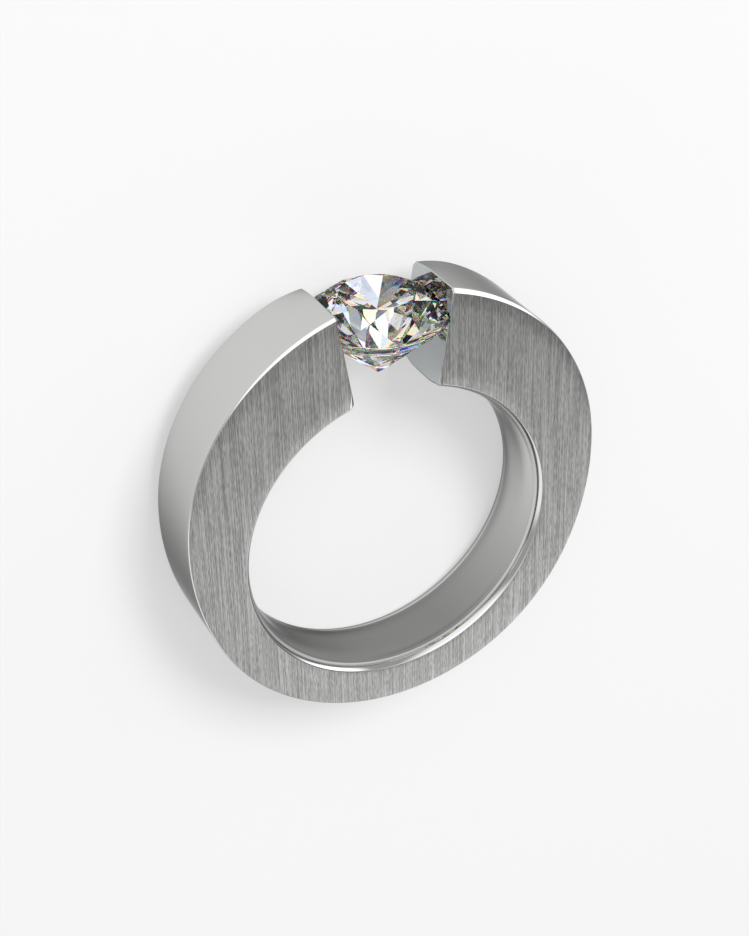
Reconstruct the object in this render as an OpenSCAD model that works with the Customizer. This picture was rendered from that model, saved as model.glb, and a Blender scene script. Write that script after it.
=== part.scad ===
// Tension set ring: a springy C-shaped band whose two ends grip a round
// brilliant stone by its edge. Lying on its side, the ring rests on the edge of
// the stone and on the foot of the band, a few degrees out of level. The origin
// is the middle of the finger hole, and the gap faces +Y.

/* [Finger hole] */
// Diameter of the finger hole at its narrowest
finger_d = 17.3; // [15:0.1:21]
// Straight part of the wall of the finger hole, at mid width
land_w = 1.2; // [0.6:0.1:2]
// How far the rounded wall opens out from there to each side face
flare_h = 0.4; // [0.2:0.05:0.7]

/* [Band] */
// Width of the band along the finger
band_w = 4.5; // [3.5:0.1:6]
// Thickness of the band at its foot, opposite the stone
foot_t = 2.5; // [1.8:0.1:4]
// Thickness that the two shoulders would have at the middle of the gap
head_t = 5.95; // [5:0.05:7]
// Distance of the centre of the foot's arc from the centre of the hole
foot_centre = 0.7; // [0:0.1:1.2]
// Distance of the centre of the shoulders' arc from the centre of the hole
head_centre = 2.4; // [1.8:0.1:3]
// How much larger the radius of the side arcs is than that of the foot's arc
side_extra = 3.4; // [2.5:0.1:5]
// Polished bevel along the outer edges
edge_cut = 0.22; // [0.1:0.02:0.4]

/* [Gap] */
// Width of the gap where it meets the finger hole
gap_w = 4.9; // [4:0.1:6]
// Lean of each end face away from the middle of the gap
gap_lean = 9.2; // [4:0.1:14]

/* [Stone] */
// Diameter of the stone
stone_d = 7.65; // [6.5:0.05:8.5]
// Distance from corner to corner of the table
table_d = 4.25; // [3.8:0.05:4.8]
// Thickness of the girdle at its widest points
girdle_t = 0.27; // [0.15:0.01:0.4]
// Slope of the main facets of the crown
crown_angle = 34.5; // [31:0.25:37]
// Slope of the main facets of the pavilion
pavilion_angle = 40.75; // [39:0.25:43]
// Length of the star facets as a share of the crown's width
star_share = 0.5; // [0.4:0.02:0.6]
// Length of the lower girdle facets as a share of the stone's radius
lower_share = 0.77; // [0.7:0.01:0.85]
// Height of the point of the stone above the wall of the finger hole
point_clear = 0.4; // [0.2:0.05:0.8]
// Turn of the stone about its own axis
stone_turn = -10.6; // [-22:0.1:22]

/* [Fit] */
// Clearance between the stone and the seats cut for it
seat_gap = 0.03; // [0.02:0.01:0.08]

/* [Hidden] */
$fn = 128;
reach = 60;                  // longer than the ring, for cutting shapes
mains = 8;                   // main facets round the crown, and as many round the pavilion
half_step = 180 / mains;     // from a main facet to the corner beside it
quarter_step = 90 / mains;   // from a main facet to the facet at the girdle
scallop_steps = 4;           // sides of the round girdle along each small facet
edge_count = 2 * mains * scallop_steps;

finger_r = finger_d / 2;
flare_run = (band_w - land_w) / 2;
flare_r = (flare_run * flare_run + flare_h * flare_h) / (2 * flare_h);

// The outline is an oval of tangent arcs: one at the foot, one over the
// shoulders and a flatter one along each side.
foot_r = finger_r + foot_t + foot_centre;
head_r = finger_r + head_t - head_centre;
side_r = foot_r + side_extra;
head_extra = side_r - head_r;
centre_step = head_centre - foot_centre;
side_drop = (side_extra * side_extra - head_extra * head_extra
             + centre_step * centre_step) / (2 * centre_step);
side_x = sqrt(side_extra * side_extra - side_drop * side_drop);
side_y = foot_centre + side_drop;
foot_join_y = side_y - side_drop / side_extra * side_r;
head_join_y = side_y + (head_centre - side_y) / head_extra * side_r;

// Heights in the stone are measured from the middle of its girdle.
stone_r = stone_d / 2;
table_r = table_d / 2;
girdle_top = girdle_t / 2;
table_edge = table_r * cos(half_step);
table_z = girdle_top + (stone_r - table_r) * tan(crown_angle);
kite_r = table_edge + star_share * (stone_r - table_edge);
kite_z = girdle_top + (stone_r - kite_r * cos(half_step)) * tan(crown_angle);
upper_angle = atan((kite_z - girdle_top) / ((stone_r - kite_r) * cos(quarter_step)));
tip_r = stone_r * (1 - lower_share);
tip_z = girdle_top + (stone_r - tip_r * cos(half_step)) * tan(pavilion_angle);
lower_angle = atan((tip_z - girdle_top) / ((stone_r - tip_r) * cos(quarter_step)));
point_z = girdle_top + stone_r * tan(pavilion_angle);
stone_y = finger_r + point_clear + point_z;

// The floor touches the stone's girdle and the foot of the band.
foot_edge_y = finger_r + foot_t - edge_cut;
rest_tilt = max(0, atan((stone_r - band_w / 2) / (stone_y - girdle_top + foot_edge_y)));

module at_rest() {
    rotate([rest_tilt, 0, 0]) children();
}

// A disc as thick as the band, bevelled on both edges
module bevelled_disc(r, x, y) {
    half = band_w / 2;
    translate([x, y, 0])
        rotate_extrude()
            polygon([[0, -half], [r - edge_cut, -half], [r, edge_cut - half],
                     [r, half - edge_cut], [r - edge_cut, half], [0, half]]);
}

module oval() {
    bevelled_disc(foot_r, 0, foot_centre);
    bevelled_disc(head_r, 0, head_centre);
    intersection() {
        bevelled_disc(side_r, side_x, side_y);
        bevelled_disc(side_r, -side_x, side_y);
        translate([-reach / 2, foot_join_y, -band_w])
            cube([reach, head_join_y - foot_join_y, 2 * band_w]);
    }
}

// The finger hole, straight at mid width and rounded out towards both faces
module finger_hole() {
    cylinder(r = finger_r, h = reach, center = true);
    for (side = [0, 1]) mirror([0, 0, side])
        rotate_extrude()
            difference() {
                translate([0, land_w / 2])
                    square([finger_r + flare_h, flare_run + band_w]);
                translate([finger_r + flare_r, land_w / 2])
                    circle(r = flare_r);
            }
}

// The gap, wider towards the outside
module gap() {
    outer_y = finger_r + head_t + 1;
    inner_x = gap_w / 2 - finger_r * tan(gap_lean);
    outer_x = inner_x + outer_y * tan(gap_lean);
    linear_extrude(2 * band_w, center = true)
        polygon([[-inner_x, 0], [inner_x, 0], [outer_x, outer_y], [-outer_x, outer_y]]);
}

// The round seat that the edge of the stone sits in, cut into both end faces
module seat() {
    rotate_extrude()
        polygon([[0, -point_z - seat_gap],
                 [tip_r + seat_gap, -tip_z - seat_gap],
                 [stone_r + seat_gap, -girdle_top - seat_gap],
                 [stone_r + seat_gap, girdle_top + seat_gap],
                 [kite_r + seat_gap, kite_z + seat_gap],
                 [table_r + seat_gap, table_z + seat_gap],
                 [0, table_z + seat_gap]]);
}

module in_gap() {
    translate([0, stone_y, 0]) rotate([-90, 0, 0]) children();
}

// A point at a direction round the stone, a distance from its axis and a height
function around(direction, distance, height) =
    [distance * cos(direction), distance * sin(direction), height];

// Height at which the small facets reach the girdle. They meet the round edge
// in scallops, deepest at the middle of each facet.
function scallop(step, slope) =
    girdle_top - stone_r * tan(slope)
        * (cos(quarter_step * (2 * (step % scallop_steps) / scallop_steps - 1))
           - cos(quarter_step));

module brilliant() {
    table_corners = [for (i = [0 : mains - 1]) around(2 * half_step * i, table_r, table_z)];
    kite_corners = [for (i = [0 : mains - 1])
        around(half_step * (2 * i + 1), kite_r, kite_z)];
    upper_edge = [for (j = [0 : edge_count - 1])
        around(360 / edge_count * j, stone_r, scallop(j, upper_angle))];
    lower_edge = [for (j = [0 : edge_count - 1])
        around(360 / edge_count * j, stone_r, -scallop(j, lower_angle))];
    lower_tips = [for (i = [0 : mains - 1])
        around(half_step * (2 * i + 1), tip_r, -tip_z)];

    // First index of each group of points
    kites = mains;
    upper = kites + mains;
    lower = upper + edge_count;
    tips = lower + edge_count;
    point = tips + mains;

    per_main = 2 * scallop_steps;
    last = mains - 1;
    polyhedron(
        points = concat(table_corners, kite_corners, upper_edge, lower_edge, lower_tips,
                        [[0, 0, -point_z]]),
        faces = concat(
            // Table
            [[for (i = [last : -1 : 0]) i]],
            // Stars
            [for (i = [0 : last]) [i, (i + 1) % mains, kites + i]],
            // Kites
            [for (i = [0 : last]) [i, kites + i, upper + per_main * i, kites + (i + last) % mains]],
            // Upper girdle facets, two to each kite corner
            [for (i = [0 : last], half = [0, 1])
                concat([kites + i],
                       [for (j = [scallop_steps : -1 : 0])
                           upper + (per_main * i + half * scallop_steps + j) % edge_count])],
            // Girdle
            [for (j = [0 : edge_count - 1])
                let (next = (j + 1) % edge_count)
                    [upper + j, upper + next, lower + next, lower + j]],
            // Lower girdle facets
            [for (i = [0 : last], half = [0, 1])
                concat([tips + i],
                       [for (j = [0 : scallop_steps])
                           lower + (per_main * i + half * scallop_steps + j) % edge_count])],
            // Pavilion mains
            [for (i = [0 : last])
                [point, tips + (i + last) % mains, lower + per_main * i, tips + i]]),
        convexity = 2);
}

// One piece of spring-hard metal, brushed on both sides and polished elsewhere
module band() {
    color("silver")
        at_rest()
            difference() {
                oval();
                finger_hole();
                gap();
                in_gap() seat();
            }
}

// Round brilliant-cut stone, its table facing outwards
module stone() {
    color("aliceblue")
        at_rest()
            in_gap() rotate([0, 0, stone_turn]) brilliant();
}

band();
stone();
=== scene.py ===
import math

import bmesh
import bpy
from mathutils import Matrix, Vector


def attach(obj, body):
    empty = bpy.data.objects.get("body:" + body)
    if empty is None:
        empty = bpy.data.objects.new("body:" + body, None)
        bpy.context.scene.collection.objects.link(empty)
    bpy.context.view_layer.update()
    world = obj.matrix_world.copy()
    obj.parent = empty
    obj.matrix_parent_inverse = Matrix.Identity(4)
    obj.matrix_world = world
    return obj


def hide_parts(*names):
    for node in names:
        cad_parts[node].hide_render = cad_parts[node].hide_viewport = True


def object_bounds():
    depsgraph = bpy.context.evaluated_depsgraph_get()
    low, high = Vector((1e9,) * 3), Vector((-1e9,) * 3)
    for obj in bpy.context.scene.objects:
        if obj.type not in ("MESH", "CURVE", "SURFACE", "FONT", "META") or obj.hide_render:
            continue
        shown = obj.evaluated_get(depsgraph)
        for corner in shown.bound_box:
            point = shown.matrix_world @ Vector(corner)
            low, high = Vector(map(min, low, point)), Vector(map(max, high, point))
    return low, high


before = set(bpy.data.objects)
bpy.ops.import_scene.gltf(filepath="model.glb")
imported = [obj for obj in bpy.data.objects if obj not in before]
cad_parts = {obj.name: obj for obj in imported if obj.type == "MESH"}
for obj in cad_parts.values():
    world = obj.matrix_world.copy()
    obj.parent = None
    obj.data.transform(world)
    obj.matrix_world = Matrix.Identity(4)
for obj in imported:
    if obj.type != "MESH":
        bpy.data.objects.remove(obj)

cad_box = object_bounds()
scene = bpy.context.scene
MM = 0.001

# The camera. The ring lies on its side, resting on the edge of the stone and on the foot
# of the band. The camera's angles are taken in the ring's own frame, with the gap upwards
# and one side face turned to the viewer, as a jeweller shows it.
VIEW_AZIMUTH = 25.34               # degrees to the left of the side face's normal
VIEW_ELEVATION = 32.33             # degrees above the finger's axis, towards the stone
VIEW_ROLL = -1.543                 # degrees about the line of sight
VIEW_DISTANCE = 101.81             # mm from the middle of the finger hole
AIM_RIGHT, AIM_UP = -0.416, 2.54   # mm, across the line of sight
LENS, SENSOR = 87.7, 36            # mm, the sensor across the picture
STONE_RADIUS = 3.825               # mm; wider than half the band, so it props that side up
BAND_HALF = 2.25                   # mm, half the band's width along the finger
STONE_HEIGHT = 12.481              # mm from the middle of the hole to the middle of the girdle
GIRDLE_HALF = 0.135                # mm, half the thickness of the stone's edge
FOOT_EDGE = 10.93                  # mm from the middle of the hole to the edge it rests on
REST_TILT = math.atan((STONE_RADIUS - BAND_HALF) / (STONE_HEIGHT - GIRDLE_HALF + FOOT_EDGE))
AT_REST = Matrix.Rotation(REST_TILT, 4, "X")


def upright(x, depth, height):
    """A direction or place given with the gap upwards, in the frame of the ring at rest."""
    return AT_REST @ Vector((x, height, -depth))


azimuth, elevation = math.radians(VIEW_AZIMUTH), math.radians(VIEW_ELEVATION)
sight = upright(-math.sin(azimuth) * math.cos(elevation),
                -math.cos(azimuth) * math.cos(elevation), math.sin(elevation))
level = upright(math.cos(azimuth), -math.sin(azimuth), 0)
raised = sight.cross(level)
roll = math.radians(VIEW_ROLL)
across = level * math.cos(roll) + raised * math.sin(roll)
up = raised * math.cos(roll) - level * math.sin(roll)
camera_data = bpy.data.cameras.new("camera")
camera_data.sensor_width = SENSOR
camera_data.sensor_fit = "HORIZONTAL"
camera_data.lens = LENS
camera_data.clip_start = 0.001
camera_data.clip_end = 50
camera = bpy.data.objects.new("camera", camera_data)
stand = (sight * VIEW_DISTANCE + across * AIM_RIGHT + up * AIM_UP) * MM
camera.matrix_world = (Matrix.Translation(stand)
                       @ Matrix((across, up, sight)).transposed().to_4x4())
scene.collection.objects.link(camera)
scene.camera = camera

# The floor. A white sweep of matt board that glows a little, as board lit from all round
# does. The stone's girdle and the foot's bevel touch it.
FLOOR_SIZE = 8.0                   # m


def linear(hex_colour):
    """An sRGB hex colour as the linear values that the shaders take."""
    parts = [int(hex_colour[i:i + 2], 16) / 255 for i in (1, 3, 5)]
    return [c / 12.92 if c <= 0.04045 else ((c + 0.055) / 1.055) ** 2.4 for c in parts] + [1.0]


def node(tree, kind, settings=None, links=None):
    """Adds a node with its settings, its inputs' values by name or number, and its links."""
    made = tree.nodes.new(kind)
    for key, value in (settings or {}).items():
        if isinstance(key, int) or key in made.inputs:
            made.inputs[key].default_value = value
        else:
            setattr(made, key, value)
    for key, source in (links or {}).items():
        tree.links.new(source, made.inputs[key])
    return made


def new_material(name):
    """An empty material and its node tree."""
    material = bpy.data.materials.new(name)
    material.use_nodes = True
    material.node_tree.nodes.clear()
    return material, material.node_tree


def new_object(name, mesh):
    """An object of a mesh, in the scene."""
    made = bpy.data.objects.new(name, mesh)
    scene.collection.objects.link(made)
    return made


# Matt white board: even and without a gloss, so that only soft shadows show on it.
board, tree = new_material("matt_white_board")
board_shader = node(tree, "ShaderNodeBsdfPrincipled",
                    {"Base Color": linear("#959595"), "Roughness": 0.9,
                     "Emission Color": linear("#ffffff"), "Emission Strength": 0.45})
node(tree, "ShaderNodeOutputMaterial", links={"Surface": board_shader.outputs[0]})
half, low = FLOOR_SIZE / 2, cad_box[0][2]
floor_mesh = bpy.data.meshes.new("floor")
floor_mesh.from_pydata([(-half, -half, low), (half, -half, low), (half, half, low),
                        (-half, half, low)], [], [(0, 1, 2, 3)])
floor_mesh.materials.append(board)
floor = new_object("floor", floor_mesh)
floor.visible_transmission = False   # the stone looks past it, into the room of the light

# The light. A pale surround with soft panels and dark flags for the steel to mirror, a
# soft box for the shadow, and a room of its own for the stone, which gathers light from
# many more directions than the panels fill.
SURROUND = 0.46                    # brightness of the plain surround
# direction of each panel or flag with the gap upwards, degrees from its middle to where
# it begins to fade and to where it ends, and the brightness that it adds
PANELS = [
    ((-0.30, -0.55, 0.78), 18, 42, 0.9),
    ((0.88, -0.28, 0.38), 10, 26, 1.6),
    ((-0.70, -0.10, -0.70), 18, 40, 0.8),
    ((-0.10, -0.95, 0.30), 25, 50, 0.5),
    ((0.45, -0.84, -0.30), 8, 40, -0.28),
    ((0.85, -0.42, -0.30), 10, 26, -0.22),
    ((0.46, -0.60, -0.66), 4, 18, 1.25),
]
WINDOWS_ACROSS = 3.6               # windows and gaps from one side of the room to the other
WINDOW_BRIGHTNESS = 1.8
WINDOW_PATTERN, WARMTH_PATTERN = 12.0, 8.0   # which of the noise's patterns is used
COOL_WINDOW, WARM_WINDOW = "#d8e6ff", "#ffefd4"
KEY_DIRECTION = (0.26, -0.72, 0.62)
KEY_DISTANCE, KEY_SIZE, KEY_POWER = 0.5, 0.22, 2.6   # m, m, W

world = bpy.data.worlds.new("studio")
scene.world = world
world.use_nodes = True
tree = world.node_tree
tree.nodes.clear()
facing = node(tree, "ShaderNodeTexCoord").outputs["Generated"]
ray = node(tree, "ShaderNodeLightPath")

surround = None
for direction, core, rim, gain in PANELS:
    near = node(tree, "ShaderNodeVectorMath",
                {"operation": "DOT_PRODUCT", 1: tuple(upright(*direction).normalized())},
                {0: facing})
    share = node(tree, "ShaderNodeMapRange",
                 {"interpolation_type": "SMOOTHSTEP", "From Min": math.cos(math.radians(rim)),
                  "From Max": math.cos(math.radians(core)), "To Min": 0.0, "To Max": 1.0},
                 {"Value": near.outputs["Value"]})
    so_far = {2: surround.outputs[0]} if surround else {}
    surround = node(tree, "ShaderNodeMath", {"operation": "MULTIPLY_ADD", 1: gain, 2: SURROUND},
                    {0: share.outputs[0], **so_far})
surround = node(tree, "ShaderNodeMath", {"operation": "MAXIMUM", 1: 0.0},
                {0: surround.outputs[0]})


def room_pattern(pattern):
    """Soft patches over all directions, as large as the windows of the room."""
    return node(tree, "ShaderNodeTexNoise", {"noise_dimensions": "4D", "Scale": WINDOWS_ACROSS,
                                             "Detail": 0.0, "W": pattern}, {"Vector": facing})


windows = node(tree, "ShaderNodeMapRange",
               {"interpolation_type": "SMOOTHSTEP", "From Min": 0.38, "From Max": 0.58,
                "To Min": 0.0, "To Max": WINDOW_BRIGHTNESS},
               {"Value": room_pattern(WINDOW_PATTERN).outputs["Fac"]})
warm_share = node(tree, "ShaderNodeMapRange",
                  {"From Min": 0.4, "From Max": 0.6, "To Min": 0.0, "To Max": 1.0},
                  {"Value": room_pattern(WARMTH_PATTERN).outputs["Fac"]})
window_tone = node(tree, "ShaderNodeMix",
                   {"data_type": "RGBA", 6: linear(COOL_WINDOW), 7: linear(WARM_WINDOW)},
                   {0: warm_share.outputs[0]})
room = node(tree, "ShaderNodeVectorMath", {"operation": "SCALE"},
            {0: window_tone.outputs[2], "Scale": windows.outputs[0]})
gathered = node(tree, "ShaderNodeMix", {"data_type": "RGBA"},
                {0: ray.outputs["Is Transmission Ray"], 6: surround.outputs[0],
                 7: room.outputs[0]})
around = node(tree, "ShaderNodeBackground", None, {"Color": gathered.outputs[2]})
plain = node(tree, "ShaderNodeBackground", {"Color": linear("#f4f4f4"), "Strength": 0.95})
seen = node(tree, "ShaderNodeMixShader", None,
            {0: ray.outputs["Is Camera Ray"], 1: around.outputs[0], 2: plain.outputs[0]})
node(tree, "ShaderNodeOutputWorld", links={"Surface": seen.outputs[0]})

key_data = bpy.data.lights.new("key_box", "AREA")
key_data.shape = "RECTANGLE"
key_data.size = key_data.size_y = KEY_SIZE
key_data.energy = KEY_POWER
key_box = new_object("key_box", key_data)
towards = upright(*KEY_DIRECTION).normalized()
key_box.matrix_world = (Matrix.Translation(towards * KEY_DISTANCE)
                        @ towards.to_track_quat("Z", "Y").to_matrix().to_4x4())
key_box.visible_glossy = key_box.visible_transmission = False   # the panels are mirrored
scene.view_settings.view_transform = "Standard"

# The band. One C-shaped piece of spring-hard stainless steel, turned and milled. Both side
# faces are brushed straight across and the rest is polished by hand, which softens its
# edges. The seats that grip the stone are cut into its two end faces. Sizes are in mm.
FINGER_R, LAND_HALF, FLARE = 8.65, 0.6, 0.4   # the hole, its straight part and its opening out
FOOT_R, FOOT_C = 11.85, 0.7        # arcs of the outline: radius, and centre below the hole's
HEAD_R, HEAD_C = 12.2, 2.4
SIDE_R = FOOT_R + 3.4
EDGE_CUT = 0.05                    # broken edge along the sides and foot
REST_CUT, REST_FROM = 0.22, math.radians(140)   # wider under the foot, where the ring rests
RIGHT, LEFT = (0.25, 0.5), (0.175, 0.38)   # each shoulder's bevel, and how fast it runs out
BEVEL_BLEND = 0.004                # how softly the shoulders' bevel runs into the broken edge
BEVEL_SOFT_SHARE, BEVEL_SOFT = 0.3, 0.035   # rounding of the bevel's two corners, at most
GAP_HALF, GAP_LEAN = 2.45, math.radians(9.2)
END_ROUND, END_ROUND_IN = 0.05, 0.3   # softened edges of the end faces, outside and in the hole
END_SINK, NEAR_FACE = 0.2, 2.1     # that the softening takes off the side faces' corners
BUFFED, BUFFED_RUN = 0.30, 2.6     # how far buffing has lowered the far corners
RIM_ROUND, RIM_END = 0.04, 0.1     # rounding between the side face and the strip in the hole
CREASE_R, CREASE_Z = 8.79, 1.60    # where the rounded edge strip meets the wall of the hole
STRIP_BULGE = 0.065
SHARP = math.radians(25)           # edges bent further than this stay sharp
STEPS_ROUND, END_STEPS, SEAT_STEPS = 320, 7, 256
# stretches of half the section, from mid width outside to mid width in the hole: first
# and last step, and the steps that the whole stretch has
STRETCHES = [("wall", 0, 4, 4), ("edge", 1, 11, 12), ("face", 1, 5, 6), ("rim", 0, 5, 5),
             ("strip", 3, 20, 20), ("flare", 1, 8, 8), ("land", 1, 1, 2)]
INSIDE = ("rim", "strip", "flare", "land")
POLISHED, BRUSHED, BORE, END = range(4)   # the finishes, in the order of the material slots
PAVILION, CROWN = math.radians(40.75), math.radians(34.5)
SEAT_GAP, SEAT_TOP_R = 0.03, 2.2

head_extra, side_extra = SIDE_R - HEAD_R, SIDE_R - FOOT_R
centre_step = HEAD_C - FOOT_C
side_drop = (side_extra ** 2 - head_extra ** 2 + centre_step ** 2) / (2 * centre_step)
side_x = math.sqrt(side_extra ** 2 - side_drop ** 2)
side_y = FOOT_C + side_drop
head_join = math.atan2(side_x, HEAD_C - side_y)
foot_join = math.atan2(side_x, FOOT_C - side_y)
slope = math.tan(GAP_LEAN)
end_x = GAP_HALF - FINGER_R * slope
along_end = Vector((math.sin(GAP_LEAN), math.cos(GAP_LEAN), 0))

upper = [(kind, k / steps) for kind, first, last, steps in STRETCHES
         for k in range(first, last + 1)]
section = [(kind, share, 1) for kind, share in upper + [("land", 1.0)]]
section += [(kind, share, -1) for kind, share in reversed(upper[1:])]
count = len(section)


def on_circle(angle, x, y, radius):
    """Distance from the middle of the hole to a circle about x, y, at an angle from the gap."""
    along = math.sin(angle) * x + math.cos(angle) * y
    return along + math.sqrt(along ** 2 - x * x - y * y + radius ** 2)


def outline(angle):
    """Radius of the oval of tangent arcs at an angle from the middle of the gap."""
    r = on_circle(angle, 0, HEAD_C, HEAD_R)
    if math.atan2(r * math.sin(angle), r * math.cos(angle) - HEAD_C) <= head_join:
        return r
    r = on_circle(angle, 0, FOOT_C, FOOT_R)
    if math.atan2(r * math.sin(angle), r * math.cos(angle) - FOOT_C) >= foot_join:
        return r
    return on_circle(angle, -side_x, side_y, SIDE_R)


def bevel(angle, side, hand):
    """Width of the bevel on an outer edge at an angle from the middle of the gap."""
    if angle > math.pi / 2:
        share = max(0.0, (angle - REST_FROM) / (math.pi - REST_FROM)) if side < 0 else 0.0
        return EDGE_CUT + (REST_CUT - EDGE_CUT) * min(1.0, 2 * share) ** 2
    shoulder_cut, fade = hand
    wide = outline(angle) - on_circle(angle, 0, HEAD_C - fade, HEAD_R - shoulder_cut + fade)
    blended = (wide + EDGE_CUT) / 2 + math.hypot((wide - EDGE_CUT) / 2, BEVEL_BLEND)
    return max(EDGE_CUT, wide, blended)


def bend(a, b, c, share):
    """A point of the curve that rounds corner b between a and c."""
    return a * (1 - share) ** 2 + b * 2 * share * (1 - share) + c * share ** 2


def in_section(kind, share, angle, side, hand):
    """Radius and height of a point of the section's upper half."""
    rim = Vector((FINGER_R + FLARE, BAND_HALF))
    crease = Vector((CREASE_R, CREASE_Z))
    strip = crease - rim
    outwards = Vector((strip.y, -strip.x)).normalized()

    def on_strip(w):
        return rim + strip * w + outwards * (STRIP_BULGE * 4 * w * (1 - w))

    if kind in ("wall", "edge", "face"):
        r, cut = outline(angle), bevel(angle, side, hand)
        soft = min(BEVEL_SOFT_SHARE * cut, BEVEL_SOFT)
        diagonal = Vector((-soft, soft)) / math.sqrt(2)
        low, high = Vector((r, BAND_HALF - cut)), Vector((r - cut, BAND_HALF))
        if kind == "wall":
            return Vector((r, (low.y - soft) * share))
        if kind == "face":
            start = high.x - soft
            return Vector((start + (rim.x + RIM_ROUND - start) * share, BAND_HALF))
        if share <= 0.5:
            return bend(low - Vector((0, soft)), low, low + diagonal, share * 2)
        return bend(high - diagonal, high, high - Vector((soft, 0)), share * 2 - 1)
    if kind == "rim":
        return bend(rim + Vector((RIM_ROUND, 0)), rim, on_strip(RIM_END), share)
    if kind == "strip":
        return on_strip(share)
    if kind == "flare":
        r = FINGER_R + (CREASE_R - FINGER_R) * (1 - share) ** 2
        return Vector((r, CREASE_Z + (LAND_HALF - CREASE_Z) * share))
    return Vector((FINGER_R, LAND_HALF * (1 - share)))


def to_end(p):
    """Distance of a place from the right end face."""
    return (p.x - end_x - p.y * slope) * math.cos(GAP_LEAN)


def place(point, angle, hand):
    """x, y, z of a point of the section at an angle from the middle of the gap."""
    kind, share, side = point
    r, z = in_section(kind, share, angle, side, hand)
    z *= side
    p = Vector((r * math.sin(angle), r * math.cos(angle), z))
    if kind in ("wall", "edge") and z < 0:
        near = max(0.0, 1 - max(0.0, to_end(p)) / BUFFED_RUN)
        r -= BUFFED * near ** 2 * (z / BAND_HALF) ** 2
        p = Vector((r * math.sin(angle), r * math.cos(angle), z))
    return p


def angle_at(point, depth, hand):
    """Angle from the middle of the gap at which a point lies this deep behind the end face."""
    low, high = 0.05, 1.2
    for _ in range(40):
        middle = (low + high) / 2
        if to_end(place(point, middle, hand)) < depth:
            low = middle
        else:
            high = middle
    return low


def half_band(hand):
    """Rows of points from the right end face to the foot, with one shoulder's bevel."""
    flat = [place(p, angle_at(p, 0, hand), hand) for p in section]
    plane = [Vector((p.dot(along_end), p.z)) for p in flat]
    inward = []
    for i in range(count):
        t = (plane[(i + 1) % count] - plane[i - 1]).normalized()
        inward.append(Vector((-t.y, t.x)))
    middle = sum(plane, Vector((0, 0))) / count
    if inward[2].dot(middle - plane[2]) < 0:
        inward = [-n for n in inward]
    rounds = [END_ROUND_IN if kind in INSIDE else END_ROUND for kind, share, side in section]
    rows = []
    for k in range(END_STEPS + 1):
        turn = math.pi / 2 * (1 - k / END_STEPS)
        row = []
        for point, rho, n in zip(section, rounds, inward):
            p = place(point, angle_at(point, rho * (1 - math.sin(turn)), hand), hand)
            shift = rho * (1 - math.cos(turn))
            if point[0] in INSIDE:
                p = p + along_end * shift
                if abs(p.z) > NEAR_FACE:
                    p.z -= math.copysign(min(END_ROUND, shift * END_SINK), p.z)
            else:
                p = p + along_end * (n.x * shift) + Vector((0, 0, n.y * shift))
            row.append(p)
        rows.append(row)
    starts = [angle_at(p, rho, hand) for p, rho in zip(section, rounds)]
    for k in range(1, STEPS_ROUND + 1):
        w = k / STEPS_ROUND
        rows.append([place(p, start + (math.pi - start) * w, hand)
                     for p, start in zip(section, starts)])
    return rows


def turned(name, profile, steps):
    """A closed solid turned about the stone's axis, in the ring's frame before it lies down."""
    bm = bmesh.new()
    rings = []
    for r, h in profile:
        corners = steps if r else 1
        rings.append([bm.verts.new((r * math.cos(2 * math.pi * k / steps), STONE_HEIGHT + h,
                                    -r * math.sin(2 * math.pi * k / steps)))
                      for k in range(corners)])
    for a, b in zip(rings, rings[1:]):
        for k in range(steps):
            m = (k + 1) % steps
            corners = [a[k % len(a)], a[m % len(a)], b[m % len(b)], b[k % len(b)]]
            bm.faces.new(list(dict.fromkeys(corners)))
    bmesh.ops.recalc_face_normals(bm, faces=bm.faces)
    mesh = bpy.data.meshes.new(name)
    bm.to_mesh(mesh)
    bm.free()
    return new_object(name, mesh)


rows = half_band(RIGHT)
rows += [[Vector((-p.x, p.y, p.z)) for p in row] for row in reversed(half_band(LEFT)[:-1])]
around_section = [(i, (i + 1) % count) for i in range(count)]
faces = [(r * count + i, r * count + j, (r + 1) * count + j, (r + 1) * count + i)
         for r in range(len(rows) - 1) for i, j in around_section]
faces.append(tuple(range(count)))
faces.append(tuple(reversed(range((len(rows) - 1) * count, len(rows) * count))))
whole_mesh = bpy.data.meshes.new("band_whole")
whole_mesh.from_pydata([tuple(p) for row in rows for p in row], [], faces)
bm = bmesh.new()
bm.from_mesh(whole_mesh)
bmesh.ops.recalc_face_normals(bm, faces=bm.faces)
bm.to_mesh(whole_mesh)
bm.free()
band = new_object("band_dressed", whole_mesh)

seat_r, seat_top = STONE_RADIUS + SEAT_GAP, GIRDLE_HALF + SEAT_GAP
seat_ceiling = seat_top + (seat_r - SEAT_TOP_R) * math.tan(CROWN)
cutter = turned("seat_cutter", [(0, -seat_top - seat_r * math.tan(PAVILION)),
                                (seat_r, -seat_top), (seat_r, seat_top),
                                (SEAT_TOP_R, seat_ceiling), (0, seat_ceiling)], SEAT_STEPS)
cut = band.modifiers.new("seats", "BOOLEAN")
cut.operation = "DIFFERENCE"
cut.solver = "EXACT"
cut.object = cutter
bpy.context.view_layer.update()
evaluated = band.evaluated_get(bpy.context.evaluated_depsgraph_get())
band_mesh = bpy.data.meshes.new_from_object(evaluated)
band.modifiers.clear()
band.data = band_mesh
bpy.data.meshes.remove(whole_mesh)
bpy.data.objects.remove(cutter)

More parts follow.
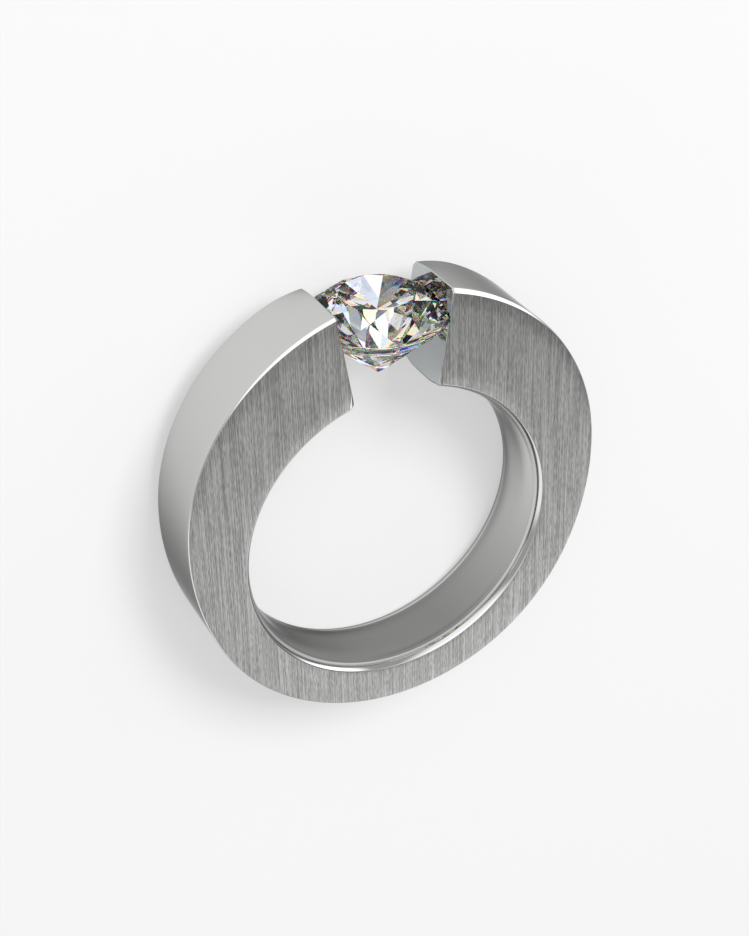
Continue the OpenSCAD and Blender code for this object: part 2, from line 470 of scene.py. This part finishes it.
bm = bmesh.new()
bm.from_mesh(band_mesh)
bmesh.ops.remove_doubles(bm, verts=bm.verts, dist=1e-5)
bmesh.ops.dissolve_degenerate(bm, edges=bm.edges, dist=1e-5)
for face in bm.faces:
    face.smooth = True
    spots = [v.co for v in face.verts]
    if min(abs(p.z) for p in spots) > BAND_HALF - 0.001:
        face.material_index = BRUSHED
    elif max(math.hypot(p.x, p.y) for p in spots) < CREASE_R + 0.01:
        face.material_index = BORE
    elif all(p.y > 0 and to_end(Vector((abs(p.x), p.y, p.z))) < 0.7 * END_ROUND for p in spots):
        face.material_index = END
for edge in bm.edges:
    if len(edge.link_faces) == 2 and edge.calc_face_angle(0) > SHARP:
        edge.smooth = False
bm.transform(Matrix.Scale(MM, 4))
bm.transform(AT_REST)
bm.to_mesh(band_mesh)
bm.free()
weigh = band.modifiers.new("flat_faces_stay_flat", "WEIGHTED_NORMAL")
weigh.keep_sharp = True


# Polished stainless steel: a buffed mirror with a faint haze and ripple, which darkens
# at a glancing angle as bare steel does. Given two colours, it runs from the first at the
# foot to the second near the shoulders, which is painted shade.
def polished_steel(name, colours, edge_colour, haze_low, haze_high):
    material, tree = new_material(name)
    where = node(tree, "ShaderNodeTexCoord").outputs["Object"]
    haze = node(tree, "ShaderNodeTexNoise", {"Scale": 0.9 / MM, "Detail": 3.0},
                {"Vector": where})
    haze = node(tree, "ShaderNodeMapRange", {"From Min": 0.3, "From Max": 0.7,
                                             "To Min": haze_low, "To Max": haze_high},
                {"Value": haze.outputs["Fac"]})
    ripple = node(tree, "ShaderNodeTexNoise", {"Scale": 0.5 / MM, "Detail": 2.0},
                  {"Vector": where})
    bump = node(tree, "ShaderNodeBump", {"Strength": 0.02, "Distance": 0.05 * MM},
                {"Height": ripple.outputs["Fac"]})
    shader = node(tree, "ShaderNodeBsdfPrincipled",
                  {"Base Color": linear(colours[0]), "Metallic": 1.0,
                   "Specular Tint": linear(edge_colour)},
                  {"Roughness": haze.outputs[0], "Normal": bump.outputs[0]})
    # two colours paint shade: darker at the foot, lighter near the shoulders
    if len(colours) > 1:
        parts = node(tree, "ShaderNodeSeparateXYZ", None, {0: where})
        height = node(tree, "ShaderNodeMapRange", {"From Min": -8 * MM, "From Max": 6 * MM,
                                                   "To Min": 0.0, "To Max": 1.0},
                      {"Value": parts.outputs["Y"]})
        tone = node(tree, "ShaderNodeMix", {"data_type": "RGBA", 6: linear(colours[0]),
                                            7: linear(colours[1])}, {0: height.outputs[0]})
        tree.links.new(tone.outputs[2], shader.inputs["Base Color"])
    node(tree, "ShaderNodeOutputMaterial", links={"Surface": shader.outputs[0]})
    return material


polished = polished_steel("polished_steel", ["#d0d0cf"], "#a0a0a0", 0.04, 0.07)
# painted shade: darker towards the foot, where the wall mirrors the ring's own shadow, and
# lighter near the shoulders
bore = polished_steel("polished_steel_in_the_hole", ["#8c8c8b", "#ececeb"], "#9a9a9a",
                      0.09, 0.14)
# a brighter, bluer copy of the polished steel with a paler edge colour: painted light, for the
# brighter reflection the end faces show
end_face = polished_steel("polished_steel_of_the_ends", ["#c6cacb"], "#d0d0d0", 0.05, 0.08)

# Brushed stainless steel: a satin face of fine straight lines from an abrasive belt, run
# from the foot to the stone, with short marks of single grits among them.
LINES_PER_MM = (24.0, 0.2, 0.2)    # across the belt's run, along it and into the metal
GRITS_PER_MM = (26.0, 2.6, 2.6)
brushed, tree = new_material("brushed_steel")
where = node(tree, "ShaderNodeTexCoord").outputs["Object"]
in_lines = node(tree, "ShaderNodeMapping", {"Scale": [n / MM for n in LINES_PER_MM]},
                {"Vector": where})
lines = node(tree, "ShaderNodeTexNoise", {"Scale": 1.0, "Detail": 1.5, "Roughness": 0.5},
             {"Vector": in_lines.outputs[0]})
in_grits = node(tree, "ShaderNodeMapping", {"Scale": [n / MM for n in GRITS_PER_MM]},
                {"Vector": where})
grits = node(tree, "ShaderNodeTexNoise", {"Scale": 1.0, "Detail": 0.0},
             {"Vector": in_grits.outputs[0]})
wear = node(tree, "ShaderNodeMath", {"operation": "MULTIPLY_ADD", 1: 0.5},
            {0: grits.outputs["Fac"], 2: lines.outputs["Fac"]})
tint = node(tree, "ShaderNodeMapRange",
            {"From Min": 0.57, "From Max": 0.93, "To Min": 0.0, "To Max": 1.0},
            {"Value": wear.outputs[0]})
shade = node(tree, "ShaderNodeMix",
             {"data_type": "RGBA", 6: linear("#9e9e9d"), 7: linear("#dadad9")},
             {0: tint.outputs[0]})
bump = node(tree, "ShaderNodeBump", {"Strength": 0.25, "Distance": 0.04 * MM},
            {"Height": lines.outputs["Fac"]})
tangent = node(tree, "ShaderNodeCombineXYZ", {0: 1.0, 1: 0.0, 2: 0.0})
shader = node(tree, "ShaderNodeBsdfPrincipled",
              {"Metallic": 1.0, "Roughness": 0.36, "Anisotropic": 0.75},
              {"Base Color": shade.outputs[2], "Normal": bump.outputs[0],
               "Tangent": tangent.outputs[0]})
node(tree, "ShaderNodeOutputMaterial", links={"Surface": shader.outputs[0]})
for finish in (polished, brushed, bore, end_face):
    band_mesh.materials.append(finish)
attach(band, "root")
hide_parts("band")

# The stone. A round brilliant of 57 facets, cut and polished flat, its table outwards.
# Nothing holds it but the band's spring force on its edge. Sizes are in mm.
TABLE_R = 2.125
MAINS, EDGE_STEPS = 8, 8           # main facets all round, and steps of the edge along each
STAR, LOWER = 0.5, 0.77            # length of the star facets and of the lower girdle facets
STONE_TURN = math.radians(-10.6)
INDEX = 2.417
half_step, quarter_step = math.pi / MAINS, math.pi / MAINS / 2
table_edge = TABLE_R * math.cos(half_step)
table_z = GIRDLE_HALF + (STONE_RADIUS - TABLE_R) * math.tan(CROWN)
kite_r = table_edge + STAR * (STONE_RADIUS - table_edge)
kite_z = GIRDLE_HALF + (STONE_RADIUS - kite_r * math.cos(half_step)) * math.tan(CROWN)
upper_slope = (kite_z - GIRDLE_HALF) / ((STONE_RADIUS - kite_r) * math.cos(quarter_step))
tip_r = STONE_RADIUS * (1 - LOWER)
tip_z = GIRDLE_HALF + (STONE_RADIUS - tip_r * math.cos(half_step)) * math.tan(PAVILION)
lower_slope = (tip_z - GIRDLE_HALF) / ((STONE_RADIUS - tip_r) * math.cos(quarter_step))
point_z = GIRDLE_HALF + STONE_RADIUS * math.tan(PAVILION)
bm = bmesh.new()


def stone_vert(turn, r, h):
    """A corner of the stone at a turn about its axis, a distance from it and a height."""
    turn += STONE_TURN
    return bm.verts.new((r * math.cos(turn), STONE_HEIGHT + h, -r * math.sin(turn)))


def scallop(k, facet_slope):
    """Height at which the small facets reach the girdle, deepest at each one's middle."""
    share = 2 * (k % EDGE_STEPS) / EDGE_STEPS - 1
    drop = math.cos(quarter_step * share) - math.cos(quarter_step)
    return GIRDLE_HALF - STONE_RADIUS * facet_slope * drop


edge_count = 2 * MAINS * EDGE_STEPS
table = [stone_vert(2 * half_step * i, TABLE_R, table_z) for i in range(MAINS)]
kites = [stone_vert(half_step * (2 * i + 1), kite_r, kite_z) for i in range(MAINS)]
top_edge = [stone_vert(2 * math.pi * k / edge_count, STONE_RADIUS, scallop(k, upper_slope))
            for k in range(edge_count)]
low_edge = [stone_vert(2 * math.pi * k / edge_count, STONE_RADIUS, -scallop(k, lower_slope))
            for k in range(edge_count)]
tips = [stone_vert(half_step * (2 * i + 1), tip_r, -tip_z) for i in range(MAINS)]
point = stone_vert(0, 0, -point_z)
bm.faces.new(table)
for i in range(MAINS):
    first = 2 * EDGE_STEPS * i
    bm.faces.new([table[i], kites[i], table[(i + 1) % MAINS]])
    bm.faces.new([table[i], kites[i - 1], top_edge[first], kites[i]])
    bm.faces.new([point, tips[i - 1], low_edge[first], tips[i]])
    for side in (0, 1):
        span = [(first + side * EDGE_STEPS + k) % edge_count for k in range(EDGE_STEPS + 1)]
        bm.faces.new([kites[i]] + [top_edge[k] for k in span])
        bm.faces.new([tips[i]] + [low_edge[k] for k in reversed(span)])
for k in range(edge_count):
    m = (k + 1) % edge_count
    girdle = bm.faces.new([top_edge[k], top_edge[m], low_edge[m], low_edge[k]])
    girdle.smooth = True
bmesh.ops.recalc_face_normals(bm, faces=bm.faces)
bm.transform(Matrix.Scale(MM, 4))
bm.transform(AT_REST)
stone_mesh = bpy.data.meshes.new("brilliant")
bm.to_mesh(stone_mesh)
bm.free()
stone = new_object("brilliant", stone_mesh)

# Diamond: clear, with so high an index that most light turns back through the table, and
# a little more bending for blue than for red, which gives the coloured sparks. Only a
# share of the outer reflection is kept, so that dark facets stay dark.
GLINT = 0.2
# each of the three colours of light with its index
FIRE = [((0.0, 1.0, 0.0, 1.0), INDEX), ((1.0, 0.0, 0.0, 1.0), 2.408),
        ((0.0, 0.0, 1.0, 1.0), 2.430)]
diamond, tree = new_material("diamond")
split = None
for tone, index in FIRE:
    part = node(tree, "ShaderNodeBsdfRefraction", {"Color": tone, "Roughness": 0.0, "IOR": index})
    split = part if split is None else node(tree, "ShaderNodeAddShader", None,
                                            {0: split.outputs[0], 1: part.outputs[0]})
gloss = node(tree, "ShaderNodeBsdfAnisotropic", {"Color": linear("#ffffff"), "Roughness": 0.0})
fresnel = node(tree, "ShaderNodeFresnel", {"IOR": INDEX})
glint = node(tree, "ShaderNodeMath", {"operation": "MULTIPLY", 1: GLINT},
             {0: fresnel.outputs[0]})
outside = node(tree, "ShaderNodeMixShader", None,
               {0: glint.outputs[0], 1: split.outputs[0], 2: gloss.outputs[0]})
# the inside is faintly grey, which darkens light that bounces long in the stone: painted shade,
# for darker facets
within = node(tree, "ShaderNodeBsdfGlass",
              {"Color": linear("#f0efec"), "Roughness": 0.0, "IOR": INDEX})
side = node(tree, "ShaderNodeNewGeometry")
both = node(tree, "ShaderNodeMixShader", None,
            {0: side.outputs["Backfacing"], 1: outside.outputs[0], 2: within.outputs[0]})
node(tree, "ShaderNodeOutputMaterial", links={"Surface": both.outputs[0]})
stone_mesh.materials.append(diamond)
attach(stone, "root")
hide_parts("stone")
scene.cycles.max_bounces = scene.cycles.transmission_bounces = 12
scene.cycles.glossy_bounces = 8
